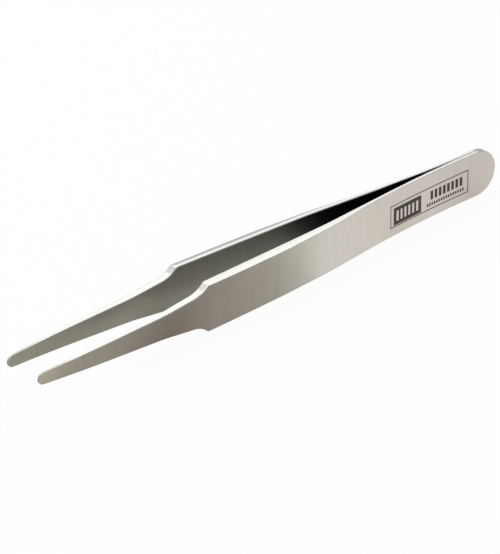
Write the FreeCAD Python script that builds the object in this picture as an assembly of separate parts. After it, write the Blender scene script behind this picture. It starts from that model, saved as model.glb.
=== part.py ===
import FreeCAD, Part
import math
import os

# Round tip tweezers: two ground steel blades, mirror images about the plane y = 0, that are
# welded face to face at the heel. Sizes are in millimetres and degrees.
# The tips point to -X and the heel to +X. The tweezers lie on the lower edges of their blades,
# with z = 0 at the foot of the shoulders, and x = 0 halfway along.

# Lengths along a blade, from the tips to the heel
front_length = 41.4
grip_length = 32.0
spring_length = 29.6
heel_length = 17.0

# Places of the small changes within those lengths
nose_length = 12.0
flare_length = 9.2
neck_length = 1.7
grind_run_in = 14.0
grind_run_out = 12.4

# Widths of a blade, seen from the side
shoulder_width = 10.2
heel_width = 9.5
neck_width = 7.0
flare_width = 5.0
tip_width = 2.4

# Roundings of the side outline
flare_radius = 40.0
neck_radius = 6.5
shoulder_radius = 1.2

# Thicknesses of the ground blade
heel_thickness = 0.74
grip_thickness = 1.9
tip_thickness = 0.5

# Gaps between the inner faces of the two blades
bend_gap = 4.9
shoulder_gap = 7.3
nose_gap = 8.5
tip_gap = 8.1

# Radii of the bends and of the blends between grinds
heel_bend_radius = 260.0
grip_bend_radius = 150.0
shoulder_bend_radius = 400.0
nose_bend_radius = 260.0
grind_blend_radius = 80.0

# Shallow bevel of the long edges, on the outer side of a flat strip that stays beside the
# inner face: the width of that strip, and the angle at which the bevel falls away
strip_width = 0.85
bevel_angle = 12.0

# Softened rims: the radius of the outer one as a share of the thickness there, and the size of
# the small chamfer along the inner one
rim_share = 0.12
inner_chamfer = 0.12

# Stock past the finished outline, which the side outline and the bevels trim away
trim_stock = 1.0
bevel_stock = 2.5
bevel_lead = 6.0

# Distances from the tips that follow from the lengths
bend_place = front_length + grip_length
heel_bend_place = bend_place + spring_length
overall_length = heel_bend_place + heel_length
grip_end_place = bend_place - grind_run_out
thin_place = heel_bend_place - grind_run_in

mid_height = shoulder_width / 2
FULL_ROUND = math.inf


def on_line(start, end, x):
    """Height at x on the straight line from start to end."""
    return start[1] + (end[1] - start[1]) * (x - start[0]) / (end[0] - start[0])


def setback(before, corner, after, radius):
    """Length of each run that a rounding of this radius takes up beside its corner."""
    if radius == FULL_ROUND:
        return min(before.distanceToPoint(corner), corner.distanceToPoint(after)) / 2
    turn = (corner - before).getAngle(after - corner)
    return radius * math.tan(turn / 2)


def corner_arc(before, corner, after, reach):
    """Arc tangent to both runs, starting and ending at reach from the corner."""
    start = corner + (before - corner).normalize() * reach
    end = corner + (after - corner).normalize() * reach
    turn = (corner - before).getAngle(after - corner)
    radius = reach / math.tan(turn / 2)
    inward = (start + end) * 0.5 - corner
    middle = corner + inward.normalize() * (radius / math.cos(turn / 2) - radius)
    return Part.Arc(start, middle, end).toShape()


def rounded_face(corners):
    """Flat face inside a closed outline of (point, radius) corners, with tangent arcs at them."""
    count = len(corners)
    points = [point for point, radius in corners]
    after = points[1:] + points[:1]
    reach = [setback(points[i - 1], points[i], after[i], corners[i][1]) for i in range(count)]
    # Two roundings on one run share it, so that they never overlap.
    share = [1.0] * count
    for i in range(count):
        run = points[i - 1].distanceToPoint(points[i])
        asked = reach[i - 1] + reach[i]
        if asked > run:
            share[i - 1] = min(share[i - 1], run / asked)
            share[i] = min(share[i], run / asked)
    edges = []
    for i in range(count):
        arc = None
        if reach[i] > 0:
            arc = corner_arc(points[i - 1], points[i], after[i], reach[i] * share[i])
        leave = arc.Vertexes[-1].Point if arc else points[i]
        following = (i + 1) % count
        direction = (after[i] - points[i]).normalize()
        arrive = after[i] - direction * (reach[following] * share[following])
        if arc:
            edges.append(arc)
        if leave.distanceToPoint(arrive) > 1e-6:
            edges.append(Part.makeLine(leave, arrive))
    return Part.Face(Part.Wire(edges))


def inner_stations():
    """Bends of the inner face as (distance from the tips, distance from the mirror plane)."""
    tip = (0.0, tip_gap / 2)
    nose = (nose_length, nose_gap / 2)
    return {
        "tip": tip,
        "nose": nose,
        "shoulder": (front_length, shoulder_gap / 2),
        "bend": (bend_place, bend_gap / 2),
        "heel bend": (heel_bend_place, 0.0),
        "tip stock": (-trim_stock, on_line(nose, tip, -trim_stock)),
        "heel stock": (overall_length + trim_stock, 0.0),
    }


def thickness_at(distance):
    """Thickness of the ground blade at a distance from the tips."""
    if distance <= front_length:
        return on_line((0.0, tip_thickness), (front_length, grip_thickness), distance)
    if distance <= grip_end_place:
        return grip_thickness
    if distance <= thin_place:
        ends = (grip_end_place, grip_thickness), (thin_place, heel_thickness)
        return on_line(*ends, distance)
    return heel_thickness


def plan_face():
    """Blade seen from above: the bent inner face and the ground outer face."""
    bends = inner_stations()

    def inner(name, radius):
        distance, offset = bends[name]
        return FreeCAD.Vector(distance, offset, 0), radius

    def outer(distance, offset, radius):
        return FreeCAD.Vector(distance, offset + thickness_at(distance), 0), radius

    grip_end_offset = on_line(bends["shoulder"], bends["bend"], grip_end_place)
    thin_offset = on_line(bends["bend"], bends["heel bend"], thin_place)
    return rounded_face([
        inner("heel stock", 0),
        inner("heel bend", heel_bend_radius),
        inner("bend", grip_bend_radius),
        inner("shoulder", shoulder_bend_radius),
        inner("nose", nose_bend_radius),
        inner("tip stock", 0),
        outer(*bends["tip stock"], 0),
        outer(*bends["nose"], nose_bend_radius),
        outer(*bends["shoulder"], shoulder_bend_radius),
        outer(grip_end_place, grip_end_offset, grind_blend_radius),
        outer(*bends["bend"], grip_bend_radius),
        outer(thin_place, thin_offset, grind_blend_radius),
        outer(*bends["heel bend"], heel_bend_radius),
        outer(*bends["heel stock"], 0),
    ])


def side_face():
    """Blade seen from the side: round tip, slim front, neck, shoulder, taper and round heel."""
    half_outline = [
        (0.0, tip_width / 2, FULL_ROUND),
        (front_length - neck_length - flare_length, flare_width / 2, flare_radius),
        (front_length - neck_length, neck_width / 2, neck_radius),
        (front_length, shoulder_width / 2, shoulder_radius),
        (overall_length, heel_width / 2, FULL_ROUND),
    ]
    upper = [(FreeCAD.Vector(x, 0, mid_height + half), radius) for x, half, radius in half_outline]
    lower = [(FreeCAD.Vector(x, 0, mid_height - half), radius) for x, half, radius in half_outline]
    return rounded_face(upper + lower[::-1])


def bevel_wedge(side):
    """Wedge that cuts the bevel off the upper edge (side 1) or off the lower edge (side -1)."""
    bends = inner_stations()
    edge_ends = (front_length, shoulder_width / 2), (overall_length, heel_width / 2)
    lead_place = front_length - neck_length - bevel_lead
    fall = bevel_stock * math.tan(math.radians(bevel_angle))
    starts = [
        (lead_place, on_line(bends["shoulder"], bends["bend"], lead_place)),
        bends["bend"],
        (thin_place, on_line(bends["bend"], bends["heel bend"], thin_place)),
    ]
    sections = []
    for distance, offset in starts:
        half_height = on_line(*edge_ends, distance)
        near, far = offset + strip_width, offset + strip_width + bevel_stock
        outline = [
            (near, half_height),
            (far, half_height - fall),
            (far, half_height + trim_stock),
            (near, half_height + trim_stock),
        ]
        points = [FreeCAD.Vector(distance, y, mid_height + side * half) for y, half in outline]
        sections.append(Part.makePolygon(points + points[:1]))
    wedge = Part.makeLoft(sections, True, True)
    if wedge.Volume < 0:
        wedge.reverse()
    return wedge


def facing(face):
    """Direction across the blade in which a face looks: 1 for outward, -1 for inward."""
    u_low, u_high, v_low, v_high = face.ParameterRange
    return face.normalAt((u_low + u_high) / 2, (v_low + v_high) / 2).y


def rim_loop(blade, side):
    """Rim of the outer (side 1) or inner (side -1) face, in order round the blade.

    Each piece of it is (edge number, start point, end point).
    """
    broad_faces = [face for face in blade.Faces if facing(face) * side > 0.5]
    waiting = []
    for number, edge in enumerate(blade.Edges, start=1):
        owners = [face for face in broad_faces if any(edge.isSame(other) for other in face.Edges)]
        if len(owners) == 1:
            waiting.append((number, edge))
    number, edge = waiting.pop(0)
    here = edge.lastVertex().Point
    loop = [(number, edge.firstVertex().Point, here)]
    while waiting:
        gaps = []
        for number, edge in waiting:
            ends = (edge.firstVertex().Point, edge.lastVertex().Point)
            gaps.append(min(end.distanceToPoint(here) for end in ends))
        number, edge = waiting.pop(gaps.index(min(gaps)))
        ends = (edge.firstVertex().Point, edge.lastVertex().Point)
        start, end = sorted(ends, key=lambda point: point.distanceToPoint(here))
        loop.append((number, start, end))
        here = end
    return loop


def soften_outer_rim(blade):
    """Round the outer rim, more where the blade is thick and less at its thin tips and heel."""
    document = FreeCAD.newDocument("blade")
    stock = document.addObject("Part::Feature", "stock")
    stock.Shape = blade
    rounding = document.addObject("Part::Fillet", "rounding")
    rounding.Base = stock
    rounding.Edges = [
        (number, rim_share * thickness_at(start.x), rim_share * thickness_at(end.x))
        for number, start, end in rim_loop(blade, 1)
    ]
    document.recompute()
    softened = rounding.Shape.copy()
    FreeCAD.closeDocument(document.Name)
    return softened


def chamfer_inner_rim(blade):
    """Take the burr off the inner rim."""
    rim = [blade.Edges[number - 1] for number, start, end in rim_loop(blade, -1)]
    return blade.makeChamfer(inner_chamfer, rim)


def blade():
    """One ground blade on the +Y side, in its place."""
    height = shoulder_width + 2 * trim_stock
    plan = plan_face().extrude(FreeCAD.Vector(0, 0, height))
    plan.translate(FreeCAD.Vector(0, 0, -trim_stock))
    depth = plan.BoundBox.YMax + trim_stock
    side = side_face().extrude(FreeCAD.Vector(0, depth, 0))
    stock = plan.common(side).removeSplitter()
    finished = chamfer_inner_rim(soften_outer_rim(stock.Solids[0]))
    finished = finished.cut(bevel_wedge(1)).cut(bevel_wedge(-1)).Solids[0]
    finished.translate(FreeCAD.Vector(-overall_length / 2, 0, 0))
    return finished


def main():
    far_blade = blade()
    near_blade = far_blade.mirror(FreeCAD.Vector(0, 0, 0), FreeCAD.Vector(0, 1, 0))
    os.makedirs("parts", exist_ok=True)
    for name, shape in (("far_blade", far_blade), ("near_blade", near_blade)):
        shape.exportStep("parts/" + name + ".step")
        box = shape.BoundBox
        print(name, "solids", len(shape.Solids), "valid", shape.isValid(),
              "volume", round(shape.Volume, 2), "faces", len(shape.Faces))
        print("  x", round(box.XMin, 3), round(box.XMax, 3), "y", round(box.YMin, 3),
              round(box.YMax, 3), "z", round(box.ZMin, 3), round(box.ZMax, 3))


main()
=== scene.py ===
# %% [markdown]
# # Round tip tweezers: finish, mark, light and camera
#
# The frame that is loaded here is the finished metal shape: two ground steel blades that are
# welded face to face at the heel. Blender adds what a photograph shows beyond the shape: the
# satin grind, the blackened mark by the heel, and a studio to see them in. Every length below
# is in metres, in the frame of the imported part: the tips point to -X, the heel to +X, and the
# near blade is the one on the -Y side.

# %% Load the frame
import math
import bpy
import bmesh
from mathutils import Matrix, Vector


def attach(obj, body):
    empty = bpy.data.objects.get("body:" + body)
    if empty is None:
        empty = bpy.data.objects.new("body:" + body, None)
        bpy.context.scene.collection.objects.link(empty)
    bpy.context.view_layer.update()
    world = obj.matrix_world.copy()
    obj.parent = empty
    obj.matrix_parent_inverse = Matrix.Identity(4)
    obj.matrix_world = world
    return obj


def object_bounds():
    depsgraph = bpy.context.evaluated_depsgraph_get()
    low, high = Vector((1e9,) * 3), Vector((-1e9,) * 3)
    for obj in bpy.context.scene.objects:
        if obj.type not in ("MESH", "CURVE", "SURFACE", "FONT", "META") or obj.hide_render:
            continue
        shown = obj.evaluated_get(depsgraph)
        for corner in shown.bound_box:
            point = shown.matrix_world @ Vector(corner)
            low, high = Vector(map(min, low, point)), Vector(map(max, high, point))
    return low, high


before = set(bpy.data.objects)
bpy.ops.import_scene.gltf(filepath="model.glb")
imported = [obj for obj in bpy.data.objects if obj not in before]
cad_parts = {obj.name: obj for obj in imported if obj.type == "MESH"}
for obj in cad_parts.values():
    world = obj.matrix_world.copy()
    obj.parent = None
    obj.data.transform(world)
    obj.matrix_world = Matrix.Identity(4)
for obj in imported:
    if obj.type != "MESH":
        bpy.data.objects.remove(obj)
cad_low, cad_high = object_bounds()
MM = 0.001
near_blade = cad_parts["near_blade"]
far_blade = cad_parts["far_blade"]
size_in_mm = [round(side / MM, 2) for side in cad_high - cad_low]
print("tweezers, length, width over both blades, height in mm:", size_in_mm)

# %% [markdown]
# ## Camera
#
# A product photograph of a thin tool is taken from far away with a long lens, so that the
# near blade isn't drawn larger than the far one. The camera could be placed by eye, but the
# outline of the blades fixes it: its direction and its distance were found by matching the
# known corners of the steel with where they lie in the picture. The focal length is then a
# number of picture pixels, which becomes millimetres of lens on a 36 mm sensor. The sensor's
# width belongs to the longer side of the picture, which is the upright one here.

# %% Place the camera
PICTURE_WIDTH, PICTURE_HEIGHT = 500, 554
camera_azimuth = math.radians(-42.05)
camera_elevation = math.radians(29.24)
camera_distance = 1.5
focal_length_in_pixels = 7922.7
aim_point = Vector((-3.35, 0.0, 3.91)) * MM


def direction(azimuth, elevation):
    """Unit vector to a place round the object. Azimuth 0 is in front, on the -Y side."""
    level = math.cos(elevation)
    return Vector((math.sin(azimuth) * level, -math.cos(azimuth) * level, math.sin(elevation)))


camera_data = bpy.data.cameras.new("camera")
camera = bpy.data.objects.new("camera", camera_data)
bpy.context.scene.collection.objects.link(camera)
toward_camera = direction(camera_azimuth, camera_elevation)
camera.location = aim_point + toward_camera * camera_distance
camera.rotation_euler = (-toward_camera).to_track_quat("-Z", "Y").to_euler()
camera_data.sensor_width = 36.0
camera_data.lens = focal_length_in_pixels * camera_data.sensor_width / PICTURE_HEIGHT
camera_data.clip_start, camera_data.clip_end = 0.1, 20.0
bpy.context.scene.camera = camera
print("lens in mm:", round(camera_data.lens, 1))

# %% [markdown]
# ## Studio
#
# Bare steel has almost no colour of its own: it shows what stands round it. The outer faces of
# the blades look down on the paper in front of them, and the narrow upper edges look up at
# whatever hangs behind. So the paper is not plain white where the steel mirrors it: light and
# shade are painted into its colour, a painted pool of light under the heel and painted shade,
# grey-brown, under the neck, which the steel shows as a painted reflection. Extra lamps could
# make the same gradient, but they would also burn out the edges. The gradient runs obliquely,
# along X + Y, because the spots that one upright line of the picture mirrors lie on a slant on
# the paper: with a gradient straight along X, each blade would be lighter at its top than at its
# foot. The strip of paper between the blades has painted shade of its own, the shade that the
# blades would cast there, and it shows in the far blade's inner face.
#
# Rays from the camera see the paper white, so the background is clean without more light on the
# steel, and it keeps a faint shadow. A soft box behind gives the bright upper edges. It ends
# where the steep corners of the shoulders would mirror it, so that they stay light grey. A dim,
# bluish card under it tints the bevel of the far blade, a box at the side lights the flare, and a
# plain pale room fills in the rest.

# %% Room and colour handling
scene = bpy.context.scene
scene.view_settings.view_transform = "Standard"
room_colour = (0.53, 0.55, 0.58)
room_strength = 0.75

world = bpy.data.worlds.new("pale room")
world.use_nodes = True
backdrop = world.node_tree.nodes["Background"]
backdrop.inputs["Color"].default_value = (*room_colour, 1.0)
backdrop.inputs["Strength"].default_value = room_strength
scene.world = world
print("room brightness:", room_strength)


# %% Helpers for node trees
def add_node(tree, kind, **settings):
    """New node of a kind, with its plain settings."""
    node = tree.nodes.new(kind)
    for name, value in settings.items():
        setattr(node, name, value)
    return node


def math_node(tree, operation, first, second=0.0):
    """Math node whose two values are numbers or the outputs of other nodes."""
    node = add_node(tree, "ShaderNodeMath", operation=operation)
    for socket, value in zip(node.inputs, (first, second)):
        if isinstance(value, bpy.types.NodeSocket):
            tree.links.new(value, socket)
        else:
            socket.default_value = value
    return node.outputs[0]


def new_material(name):
    """Empty material and its tree."""
    material = bpy.data.materials.new(name)
    material.use_nodes = True
    material.node_tree.nodes.clear()
    return material, material.node_tree


def colour_ramp(tree, value, stops):
    """Colour from a value through (position, colour) stops that lie between 0 and 1."""
    ramp = add_node(tree, "ShaderNodeValToRGB")
    while len(ramp.color_ramp.elements) < len(stops):
        ramp.color_ramp.elements.new(1.0)
    for element, (position, colour) in zip(ramp.color_ramp.elements, stops):
        element.position = position
        element.color = (*colour, 1.0)
    tree.links.new(value, ramp.inputs[0])
    return ramp.outputs["Color"]


def rise(tree, value, start, end, shape="SMOOTHSTEP"):
    """Number that goes from 0 at the start to 1 at the end of a value."""
    step = add_node(tree, "ShaderNodeMapRange", interpolation_type=shape)
    step.inputs["From Min"].default_value = start
    step.inputs["From Max"].default_value = end
    tree.links.new(value, step.inputs["Value"])
    return step.outputs[0]


def mix_colour(tree, factor, first, second, blend="MIX"):
    """Mix of two colours, each written out or the output of another node."""
    mix = add_node(tree, "ShaderNodeMix", data_type="RGBA", blend_type=blend)
    tree.links.new(factor, mix.inputs[0])
    for socket, colour in ((mix.inputs[6], first), (mix.inputs[7], second)):
        if isinstance(colour, bpy.types.NodeSocket):
            tree.links.new(colour, socket)
        else:
            socket.default_value = (*colour, 1.0)
    return mix.outputs[2]


# %% Painted light and shade of the paper, by millimetres along X + Y
# Painted light and shade: a painted pool of light under the heel, painted shade toward the tips.
painted_light_and_shade_before_blades = [
    (-72, (0.74, 0.73, 0.58)),
    (-60, (0.42, 0.39, 0.355)),
    (-50, (0.42, 0.40, 0.35)),
    (-35, (0.25, 0.21, 0.195)),
    (-24, (0.40, 0.37, 0.335)),
    (-16, (0.44, 0.41, 0.37)),
    (-5, (0.52, 0.51, 0.465)),
    (2.5, (0.72, 0.70, 0.66)),
    (8, (1.0, 0.99, 0.97)),
    (27, (0.97, 0.94, 0.92)),
    (34, (0.91, 0.87, 0.855)),
    (42, (0.98, 0.94, 0.93)),
    (53, (0.80, 0.75, 0.74)),
    (65, (1.0, 1.0, 1.0)),
]
# Painted shade on the paper between the blades, where the blades would shade it.
painted_shade_between_blades = [
    (-57, (0.49, 0.47, 0.41)),
    (-45, (0.40, 0.385, 0.335)),
    (-29, (0.42, 0.405, 0.355)),
    (-22, (0.34, 0.33, 0.29)),
    (-10, (0.36, 0.355, 0.318)),
    (0, (0.38, 0.38, 0.35)),
    (10, (0.38, 0.38, 0.36)),
]
print("tones before and between the blades:", len(painted_light_and_shade_before_blades), len(painted_shade_between_blades))

# %% Paper colour with painted light and shade, as the steel sees it
paper_material, tree = new_material("paper with painted light and shade")
place = add_node(tree, "ShaderNodeTexCoord")
split = add_node(tree, "ShaderNodeSeparateXYZ")
tree.links.new(place.outputs["Object"], split.inputs[0])
oblique = math_node(tree, "ADD", split.outputs["X"], split.outputs["Y"])


def graded(tones):
    """Painted light and shade of the paper along its oblique gradient, from (millimetres, colour)
    stops.
    """
    start, end = tones[0][0], tones[-1][0]
    along = rise(tree, oblique, start * MM, end * MM, "LINEAR")
    stops = [((spot - start) / (end - start), tone) for spot, tone in tones]
    return colour_ramp(tree, along, stops)


# Painted shade between the blades: from behind the near blade to before the bend, the paper takes
# its own darker tones.
behind_near_blade = rise(tree, split.outputs["Y"], -5 * MM, -3 * MM)
before_bend = rise(tree, split.outputs["X"], 18 * MM, 8 * MM)
between = math_node(tree, "MULTIPLY", behind_near_blade, before_bend)
painted_paper_colour = mix_colour(tree, between, graded(painted_light_and_shade_before_blades), graded(painted_shade_between_blades))
print("paper colour, nodes:", len(tree.nodes))

# %% Paper surface, for the camera and for the steel
paper_white = (0.97, 0.97, 0.97)
white_seen_by_camera = 0.95
painted_paper_seen_by_steel = 0.9

rays = add_node(tree, "ShaderNodeLightPath")
from_camera, through_glass = rays.outputs["Is Camera Ray"], rays.outputs["Is Transmission Ray"]
clear_rays = math_node(tree, "MAXIMUM", from_camera, through_glass)
steel_share = math_node(tree, "MULTIPLY", rays.outputs["Is Glossy Ray"], painted_paper_seen_by_steel)
camera_share = math_node(tree, "MULTIPLY", clear_rays, white_seen_by_camera)
paper = add_node(tree, "ShaderNodeBsdfDiffuse")
tree.links.new(mix_colour(tree, clear_rays, painted_paper_colour, paper_white), paper.inputs["Color"])
# The paper glows in its painted light and shade for the steel, which shows it as a painted
# reflection.
painted_paper_glow = add_node(tree, "ShaderNodeEmission")
tree.links.new(painted_paper_colour, painted_paper_glow.inputs["Color"])
white = add_node(tree, "ShaderNodeEmission")
seen_by_steel = add_node(tree, "ShaderNodeMixShader")
tree.links.new(steel_share, seen_by_steel.inputs["Fac"])
tree.links.new(paper.outputs[0], seen_by_steel.inputs[1])
tree.links.new(painted_paper_glow.outputs[0], seen_by_steel.inputs[2])
seen = add_node(tree, "ShaderNodeMixShader")
tree.links.new(camera_share, seen.inputs["Fac"])
tree.links.new(seen_by_steel.outputs[0], seen.inputs[1])
tree.links.new(white.outputs[0], seen.inputs[2])
out = add_node(tree, "ShaderNodeOutputMaterial")
tree.links.new(seen.outputs[0], out.inputs["Surface"])
print("paper with painted light and shade, nodes:", len(tree.nodes))

# %% Paper disc
paper_radius = 4.0
paper_gap = 0.01 * MM

disc = bmesh.new()
bmesh.ops.create_circle(disc, cap_ends=True, segments=96, radius=paper_radius)
paper_mesh = bpy.data.meshes.new("paper")
disc.to_mesh(paper_mesh)
disc.free()
paper_mesh.materials.append(paper_material)
floor = bpy.data.objects.new("paper", paper_mesh)
floor.location.z = -paper_gap
scene.collection.objects.link(floor)
print("paper disc, radius in m:", paper_radius)


# %% Lamps
def soft_box(name, azimuth, elevation, distance, width, height, brightness, colour=(1, 1, 1)):
    """Rectangular lamp that faces the tweezers. Brightness 1 shows as white in a mirror."""
    lamp_data = bpy.data.lights.new(name, "AREA")
    lamp_data.shape = "RECTANGLE"
    lamp_data.size, lamp_data.size_y = width, height
    lamp_data.energy = brightness * math.pi * width * height
    lamp_data.color = colour
    lamp = bpy.data.objects.new(name, lamp_data)
    outward = direction(math.radians(azimuth), math.radians(elevation))
    lamp.location = outward * distance
    lamp.rotation_euler = outward.to_track_quat("Z", "Y").to_euler()
    lamp.visible_camera = False
    scene.collection.objects.link(lamp)
    print(name, "watts:", round(lamp_data.energy, 3))


soft_box("back box", 148, 44, 0.5, 0.60, 0.34, 1.3, (0.91, 0.96, 1.0))
soft_box("low back card", 143, 8, 0.5, 0.5, 0.18, 0.22, (0.70, 0.90, 1.0))
soft_box("side box", 250, 62, 0.4, 0.4, 0.3, 1.8)

# %% [markdown]
# ## Satin steel
#
# The faces of the blades are ground across their length, which leaves fine parallel lines
# from edge to edge. A picture of scratches could be laid on the faces, but noise that is
# squeezed along the blade and stretched across it gives the same lines at any distance and
# needs no unwrapping. The pattern is a node group, because the steel uses it twice, once for
# single lines and once for the broad soft bands that many lines make together.

# %% Node group: ground lines
def new_group(name, inputs, outputs):
    """Shader node group with named number inputs and outputs, and its two end nodes."""
    group = bpy.data.node_groups.new(name, "ShaderNodeTree")
    for socket, value in inputs.items():
        made = group.interface.new_socket(socket, in_out="INPUT", socket_type="NodeSocketFloat")
        made.default_value = value
    for socket, kind in outputs.items():
        group.interface.new_socket(socket, in_out="OUTPUT", socket_type=kind)
    return group, add_node(group, "NodeGroupInput"), add_node(group, "NodeGroupOutput")


fine_spacing, fine_length = 0.05 * MM, 4.0 * MM
lines_group, given, result = new_group(
    "ground lines",
    {"Spacing": fine_spacing, "Length": fine_length},
    {"Lines": "NodeSocketFloat"},
)
place = add_node(lines_group, "ShaderNodeTexCoord")
split = add_node(lines_group, "ShaderNodeSeparateXYZ")
lines_group.links.new(place.outputs["Object"], split.inputs[0])
squeezed = add_node(lines_group, "ShaderNodeCombineXYZ")
for axis, scale in (("X", "Spacing"), ("Y", "Length"), ("Z", "Length")):
    step = math_node(lines_group, "DIVIDE", split.outputs[axis], given.outputs[scale])
    lines_group.links.new(step, squeezed.inputs[axis])
noise = add_node(lines_group, "ShaderNodeTexNoise")
noise.inputs["Scale"].default_value = 1.0
noise.inputs["Detail"].default_value = 2.0
noise.inputs["Roughness"].default_value = 0.6
lines_group.links.new(squeezed.outputs[0], noise.inputs["Vector"])
lines_group.links.new(noise.outputs["Fac"], result.inputs["Lines"])
print("ground lines, nodes:", len(lines_group.nodes))


# %% [markdown]
# ## Where the finish differs
#
# A blade isn't the same all over. The grinding wheel can't reach between the blades once they
# are welded, so their inner faces are smoother and a little cooler in colour. Toward the heel,
# where the gap between the blades grows narrow, the inner faces carry painted shade, nearly
# black, and painted shade also darkens the line where the blades part, until it ends in the
# ground weld of the heel. The tips are dulled, so that they don't glare under a microscope.
# Each zone could be a material of its own, but then its border would follow the triangles. Masks
# in one material fade instead, and they come from two things: the way the surface faces and
# the place along the blade.

# %% Steel: tone of the ground lines
steel_colour = (0.70, 0.67, 0.615)
dark_line_colour = (0.605, 0.585, 0.535)
dark_below, light_above = 0.35, 0.6
band_spacing, band_length, band_share = 0.9 * MM, 14.0 * MM, 0.25


def lines(tree, spacing, length):
    """The ground lines group in a material, with its own spacing and length."""
    node = add_node(tree, "ShaderNodeGroup", node_tree=lines_group)
    node.inputs["Spacing"].default_value = spacing
    node.inputs["Length"].default_value = length
    return node.outputs["Lines"]


steel, tree = new_material("satin steel")
surface = add_node(tree, "ShaderNodeBsdfPrincipled")
surface.inputs["Metallic"].default_value = 1.0
fine = lines(tree, fine_spacing, fine_length)
bands = lines(tree, band_spacing, band_length)
both = add_node(tree, "ShaderNodeMix", data_type="FLOAT")
both.inputs["Factor"].default_value = band_share
tree.links.new(fine, both.inputs[2])
tree.links.new(bands, both.inputs[3])
lightness = rise(tree, both.outputs[0], dark_below, light_above, "LINEAR")
tone = mix_colour(tree, lightness, dark_line_colour, steel_colour)
print("lines and bands, spacing in mm:", fine_spacing / MM, band_spacing / MM)

# %% Steel: masks for the zones
inside_facing, inner_rim_facing = -0.8, -0.5
# Painted shade in the narrow gap: the inner faces go nearly black from x = 0 to 21.5 mm and on to
# the heel.
painted_gap_shade_start, painted_gap_shade_end, painted_gap_shade_depth = 0 * MM, 21.5 * MM, 0.88
# Painted shade along the line where the blades part: it starts at 28 mm, is full from 36 to 38 mm,
# and is gone by 50 mm.
parting_shade_start, parting_shade_full, parting_shade_fading, parting_shade_end = 28 * MM, 36 * MM, 38 * MM, 50 * MM

facing = add_node(tree, "ShaderNodeNewGeometry")
normal_parts = add_node(tree, "ShaderNodeSeparateXYZ")
tree.links.new(facing.outputs["Normal"], normal_parts.inputs[0])
across = math_node(tree, "ABSOLUTE", normal_parts.outputs["Y"])
place = add_node(tree, "ShaderNodeTexCoord")
position = add_node(tree, "ShaderNodeSeparateXYZ")
tree.links.new(place.outputs["Object"], position.inputs[0])
blade_side = math_node(tree, "SIGN", position.outputs["Y"])
outward = math_node(tree, "MULTIPLY", normal_parts.outputs["Y"], blade_side)
inside = math_node(tree, "LESS_THAN", outward, inside_facing)
inside_or_rim = math_node(tree, "LESS_THAN", outward, inner_rim_facing)
along_x = position.outputs["X"]
painted_gap_shade = math_node(tree, "MULTIPLY", rise(tree, along_x, painted_gap_shade_start, painted_gap_shade_end), painted_gap_shade_depth)
painted_gap_shade = math_node(tree, "MULTIPLY", painted_gap_shade, inside)
parting_shade_begins = rise(tree, along_x, parting_shade_start, parting_shade_full)
parting_shade_ends = rise(tree, along_x, parting_shade_fading, parting_shade_end)
painted_parting_shade = math_node(tree, "SUBTRACT", parting_shade_begins, parting_shade_ends)
painted_parting_shade = math_node(tree, "MULTIPLY", painted_parting_shade, inside_or_rim)
print("dark skin, where it starts and is full, x in mm:", painted_gap_shade_start / MM, painted_gap_shade_end / MM)

# %% Steel: colour and roughness
inner_tint = (0.92, 0.945, 0.96)
painted_shade_colour = (0.05, 0.05, 0.05)
rim_facing, rim_roughness = 0.9, 0.28
face_facing, face_roughness = 0.99, 0.36
inner_roughness, uneven_roughness = 0.28, 0.15
dull_start, dull_end, dull_facing, dull_roughness = -50 * MM, -57 * MM, 0.95, 0.3

colour = mix_colour(tree, inside, tone, inner_tint, "MULTIPLY")
# Painted shade in the gap and along the parting line turns the base colour nearly black.
colour = mix_colour(tree, math_node(tree, "MAXIMUM", painted_gap_shade, painted_parting_shade), colour, painted_shade_colour)
tree.links.new(colour, surface.inputs["Base Color"])
on_face = add_node(tree, "ShaderNodeMapRange")
on_face.inputs["From Min"].default_value = rim_facing
on_face.inputs["From Max"].default_value = face_facing
on_face.inputs["To Min"].default_value = rim_roughness
on_face.inputs["To Max"].default_value = face_roughness
tree.links.new(across, on_face.inputs["Value"])
polish = math_node(tree, "MULTIPLY", inside, inner_roughness - face_roughness)
uneven = math_node(tree, "MULTIPLY", math_node(tree, "SUBTRACT", fine, 0.5), uneven_roughness)
dull = math_node(tree, "MULTIPLY", rise(tree, along_x, dull_start, dull_end), dull_roughness)
dull = math_node(tree, "MULTIPLY", dull, math_node(tree, "LESS_THAN", across, dull_facing))
roughness = math_node(tree, "ADD", math_node(tree, "ADD", on_face.outputs[0], dull), uneven)
tree.links.new(math_node(tree, "ADD", roughness, polish), surface.inputs["Roughness"])
print("roughness of rims, faces and inner faces:", rim_roughness, face_roughness, inner_roughness)

# %% Steel: relief of the lines
bump_strength, bump_depth = 0.5, 0.002 * MM

bump = add_node(tree, "ShaderNodeBump")
bump.inputs["Strength"].default_value = bump_strength
bump.inputs["Distance"].default_value = bump_depth
tree.links.new(fine, bump.inputs["Height"])
tree.links.new(bump.outputs[0], surface.inputs["Normal"])
out = add_node(tree, "ShaderNodeOutputMaterial")
tree.links.new(surface.outputs[0], out.inputs["Surface"])
print("satin steel, nodes:", len(tree.nodes))

# %% Put the steel on both blades
for blade in (near_blade, far_blade):
    blade.data.materials.clear()
    blade.data.materials.append(steel)
    print(blade.name, "triangles:", len(blade.data.polygons))

# %% [markdown]
# ## Blackened mark
#
# The photographed tweezers carry an etched mark near the heel: a thin frame with a dark square
# and rows of small dark shapes inside. Here it is kept as a plain pattern of bars with no
# lettering. The bars could be painted on as a texture, but bars with real edges stay sharp in
# a close view, and they follow the bent face because each one is dropped onto it with a ray.
# Every row of equal bars comes from one Geometry Nodes tree with its own sizes.

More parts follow.
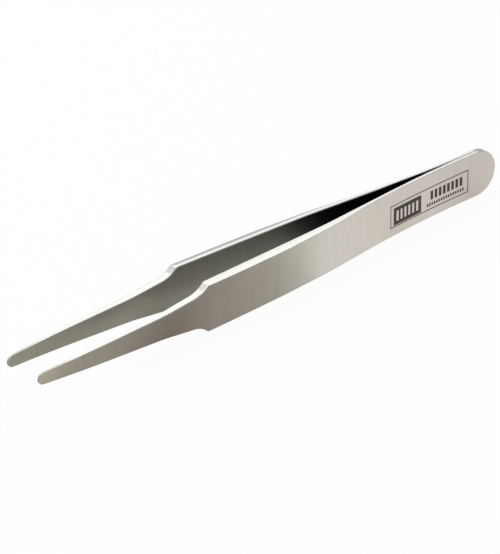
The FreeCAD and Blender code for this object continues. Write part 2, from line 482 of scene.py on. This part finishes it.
# %% Row of bars: its inputs
row_tree = bpy.data.node_groups.new("row of bars", "GeometryNodeTree")
row_sockets = {}
for name, kind in (
    ("Blade", "NodeSocketObject"), ("Material", "NodeSocketMaterial"), ("Count", "NodeSocketInt"),
    ("First X", "NodeSocketFloat"), ("First Z", "NodeSocketFloat"), ("Step", "NodeSocketFloat"),
    ("Width", "NodeSocketFloat"), ("Height", "NodeSocketFloat"),
):
    socket = row_tree.interface.new_socket(name, in_out="INPUT", socket_type=kind)
    row_sockets[name] = socket.identifier
row_tree.interface.new_socket("Bars", in_out="OUTPUT", socket_type="NodeSocketGeometry")
given = add_node(row_tree, "NodeGroupInput")
result = add_node(row_tree, "NodeGroupOutput")
link = row_tree.links.new
print("inputs:", ", ".join(row_sockets))

# %% Row of bars: one place for each bar
probe_distance = 20 * MM

first = add_node(row_tree, "ShaderNodeCombineXYZ")
first.inputs["Y"].default_value = -probe_distance
link(given.outputs["First X"], first.inputs["X"])
link(given.outputs["First Z"], first.inputs["Z"])
stride = add_node(row_tree, "ShaderNodeCombineXYZ")
link(given.outputs["Step"], stride.inputs["X"])
places = add_node(row_tree, "GeometryNodeMeshLine", mode="OFFSET")
link(given.outputs["Count"], places.inputs["Count"])
link(first.outputs[0], places.inputs["Start Location"])
link(stride.outputs[0], places.inputs["Offset"])

# %% Row of bars: a flat bar at each place
bar_cell = 0.6 * MM

grid = add_node(row_tree, "GeometryNodeMeshGrid")
for side, size, corners in (("Width", "Size X", "Vertices X"), ("Height", "Size Y", "Vertices Y")):
    link(given.outputs[side], grid.inputs[size])
    cells = math_node(row_tree, "DIVIDE", given.outputs[side], bar_cell)
    link(math_node(row_tree, "ADD", math_node(row_tree, "CEIL", cells), 1.0), grid.inputs[corners])
copies = add_node(row_tree, "GeometryNodeInstanceOnPoints")
copies.inputs["Rotation"].default_value = (math.pi / 2, 0.0, 0.0)
link(places.outputs[0], copies.inputs["Points"])
link(grid.outputs["Mesh"], copies.inputs["Instance"])
real = add_node(row_tree, "GeometryNodeRealizeInstances")
link(copies.outputs[0], real.inputs[0])

# %% Row of bars: drop the bars onto the blade
bar_sunk = 0.012 * MM

blade_shape = add_node(row_tree, "GeometryNodeObjectInfo", transform_space="ORIGINAL")
link(given.outputs["Blade"], blade_shape.inputs["Object"])
ray = add_node(row_tree, "GeometryNodeRaycast")
ray.inputs["Ray Direction"].default_value = (0.0, 1.0, 0.0)
ray.inputs["Ray Length"].default_value = 2 * probe_distance
link(blade_shape.outputs["Geometry"], ray.inputs["Target Geometry"])
sunk = add_node(row_tree, "ShaderNodeVectorMath", operation="ADD")
sunk.inputs[1].default_value = (0.0, bar_sunk, 0.0)
link(ray.outputs["Hit Position"], sunk.inputs[0])
dropped = add_node(row_tree, "GeometryNodeSetPosition")
link(real.outputs[0], dropped.inputs["Geometry"])
link(sunk.outputs[0], dropped.inputs["Position"])

# %% Row of bars: make them solid
bar_proud = 0.006 * MM
weld_distance = 0.0001 * MM

raised = add_node(row_tree, "GeometryNodeExtrudeMesh", mode="FACES")
raised.inputs["Individual"].default_value = False
raised.inputs["Offset"].default_value = (0.0, -1.0, 0.0)
raised.inputs["Offset Scale"].default_value = bar_sunk + bar_proud
link(dropped.outputs[0], raised.inputs["Mesh"])
back = add_node(row_tree, "GeometryNodeFlipFaces")
link(dropped.outputs[0], back.inputs[0])
closed = add_node(row_tree, "GeometryNodeJoinGeometry")
link(back.outputs[0], closed.inputs[0])
link(raised.outputs["Mesh"], closed.inputs[0])
welded = add_node(row_tree, "GeometryNodeMergeByDistance")
welded.inputs["Distance"].default_value = weld_distance
link(closed.outputs[0], welded.inputs["Geometry"])
flat = add_node(row_tree, "GeometryNodeRealizeInstances")
link(welded.outputs[0], flat.inputs[0])
painted = add_node(row_tree, "GeometryNodeSetMaterial")
link(flat.outputs[0], painted.inputs["Geometry"])
link(given.outputs["Material"], painted.inputs["Material"])
link(painted.outputs[0], result.inputs["Bars"])
print("row of bars, nodes:", len(row_tree.nodes))


# %% Material of the mark
mark_colour = (0.045, 0.037, 0.031)
mark_worn_colour = (0.085, 0.074, 0.065)
mark_roughness, mark_metal = 0.55, 0.35
mottle_scale, mottle_detail = 2.0 / MM, 3.0

mark_material, tree = new_material("blackened steel")
surface = add_node(tree, "ShaderNodeBsdfPrincipled")
surface.inputs["Roughness"].default_value = mark_roughness
surface.inputs["Metallic"].default_value = mark_metal
place = add_node(tree, "ShaderNodeTexCoord")
mottle = add_node(tree, "ShaderNodeTexNoise")
mottle.inputs["Scale"].default_value = mottle_scale
mottle.inputs["Detail"].default_value = mottle_detail
tree.links.new(place.outputs["Object"], mottle.inputs["Vector"])
colour = mix_colour(tree, mottle.outputs["Fac"], mark_colour, mark_worn_colour)
tree.links.new(colour, surface.inputs["Base Color"])
out = add_node(tree, "ShaderNodeOutputMaterial")
tree.links.new(surface.outputs[0], out.inputs["Surface"])
print("blackened steel, nodes:", len(tree.nodes))


# %% Helper: one row of the mark
def row_of_bars(left, right, low, high, count=1, share=1.0):
    """Equal bars, side by side between left and right. Share is the part of a step a bar fills."""
    step = (right - left) / (count - 1 + share)
    values = {
        "Blade": near_blade, "Material": mark_material, "Count": count,
        "First X": (left + step * share / 2) * MM, "First Z": (low + high) / 2 * MM,
        "Step": step * MM, "Width": step * share * MM, "Height": (high - low) * MM,
    }
    holder = bpy.data.objects.new("bars", bpy.data.meshes.new("bars"))
    scene.collection.objects.link(holder)
    rows = holder.modifiers.new("row", "NODES")
    rows.node_group = row_tree
    for name, value in values.items():
        rows[row_sockets[name]] = value
    bpy.context.view_layer.update()
    shaped = holder.evaluated_get(bpy.context.evaluated_depsgraph_get())
    made = bpy.data.meshes.new_from_object(shaped)
    bpy.data.objects.remove(holder)
    return made


# %% Rows of the mark, in millimetres
line = 0.2
frame_left, frame_right, frame_low, frame_high = 31.4, 52.8, 2.05, 6.95
block_left, block_right, block_low, block_high = 32.3, 40.0, 2.4, 6.2
border = 0.8
slots_left, slots_right = 33.7, 38.6
border_share = border / (block_right - block_left - border)
frame_share = line / (frame_right - frame_left - line)
mark_rows = [
    row_of_bars(frame_left, frame_right, frame_low, frame_low + line),
    row_of_bars(frame_left, frame_right, frame_high - line, frame_high),
    row_of_bars(frame_left, frame_right, frame_low + line, frame_high - line, 2, frame_share),
    row_of_bars(block_left, block_right, block_low, block_low + border),
    row_of_bars(block_left, block_right, block_high - border, block_high),
    row_of_bars(block_left, block_right, block_low + border, block_high - border, 2, border_share),
    row_of_bars(slots_left, slots_right, block_low + border, block_high - border, 5, 0.5),
    row_of_bars(42.6, 51.2, 4.1, 6.0, 8, 0.62),
    row_of_bars(41.6, 51.6, 2.85, 3.5, 16, 0.62),
]
print("rows:", len(mark_rows))

# %% Join the rows into one piece
joined = bmesh.new()
for row in mark_rows:
    joined.from_mesh(row)
mark_mesh = bpy.data.meshes.new("heel_mark")
joined.to_mesh(mark_mesh)
joined.free()
mark_mesh.materials.append(mark_material)
heel_mark = bpy.data.objects.new("heel_mark", mark_mesh)
scene.collection.objects.link(heel_mark)
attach(heel_mark, "root")
print("heel_mark: faces", len(mark_mesh.polygons))
